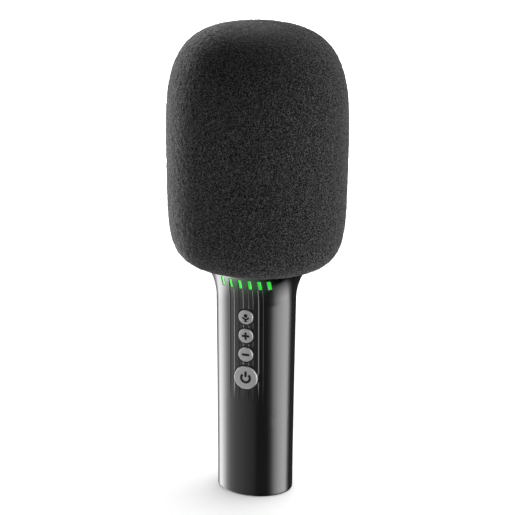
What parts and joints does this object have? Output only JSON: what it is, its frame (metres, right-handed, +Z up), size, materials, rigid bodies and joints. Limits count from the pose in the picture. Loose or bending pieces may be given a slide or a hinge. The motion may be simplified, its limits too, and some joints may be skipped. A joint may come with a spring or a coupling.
{
  "type": "karaoke microphone",
  "caption": "Handheld wireless karaoke microphone with an oval tapering handle, lit slots round a flared neck, push buttons, and a pull-off foam windscreen over a speaker head.",
  "frame": {"origin": "middle of the base's underside", "axes": "+Z up along the handle, -Y towards the buttons and lights, +X to the right of someone facing the buttons"},
  "size_m": [0.0846, 0.0778, 0.226],
  "materials": {
    "shell": "gloss",
    "key": "satin",
    "light": "gloss",
    "foam": "matte",
    "inner_plastic": "matte",
    "board": "satin",
    "chip": "matte",
    "lamp": "gloss",
    "steel": "satin",
    "alloy": "satin",
    "dark_steel": "satin",
    "cell_wrap": "gloss",
    "rubber": "matte",
    "paper": "matte",
    "copper": "satin"
  },
  "bodies": {
    "handle": {"front_shell": "shell", "rear_shell": "shell", "base_cap": "shell", "base_screws": "steel", "light_guide": "light", "lamp_board": "board", "lamps": "lamp", "voice_switch": "steel", "plus_switch": "steel", "minus_switch": "steel", "power_switch": "steel", "main_board": "board", "board_screws": "steel", "board_parts": "chip", "charging_socket": "steel", "cell": "cell_wrap", "head_collar": "inner_plastic", "collar_screws": "steel", "head_cage": "inner_plastic", "cage_cap": "inner_plastic", "capsule": "alloy", "capsule_boot": "rubber", "speaker_baffle": "inner_plastic", "speaker_gasket": "rubber", "speaker_frame": "dark_steel", "speaker_magnet": "dark_steel", "speaker_surround": "rubber"},
    "windscreen": {"foam_windscreen": "foam"},
    "voice_key": {"voice_button": "key", "voice_plunger": "inner_plastic"},
    "plus_key": {"plus_button": "key", "plus_plunger": "inner_plastic"},
    "minus_key": {"minus_button": "key", "minus_plunger": "inner_plastic"},
    "power_key": {"power_button": "key", "power_plunger": "inner_plastic"},
    "cone": {"speaker_cone": "paper", "dust_cap": "paper", "voice_coil": "copper"}
  },
  "joints": [
    {"name": "voice_press", "type": "slide", "parent": "handle", "child": "voice_key", "axis": [0, 1, 0], "range_m": [0, 0.0005], "stiffness_N_per_m": 600},
    {"name": "plus_press", "type": "slide", "parent": "handle", "child": "plus_key", "axis": [0, 1, 0], "range_m": [0, 0.0005], "stiffness_N_per_m": 600},
    {"name": "minus_press", "type": "slide", "parent": "handle", "child": "minus_key", "axis": [0, 1, 0], "range_m": [0, 0.0005], "stiffness_N_per_m": 600},
    {"name": "power_press", "type": "slide", "parent": "handle", "child": "power_key", "axis": [0, 1, 0], "range_m": [0, 0.0005], "stiffness_N_per_m": 600},
    {"name": "windscreen_pull", "type": "slide", "parent": "handle", "child": "windscreen", "axis": [0, 0, 1], "range_m": [0, 0.12]},
    {"name": "cone_excursion", "type": "slide", "parent": "handle", "child": "cone", "axis": [0, 1, 0], "range_m": [-0.0006, 0.0006], "stiffness_N_per_m": 800}
  ]
}
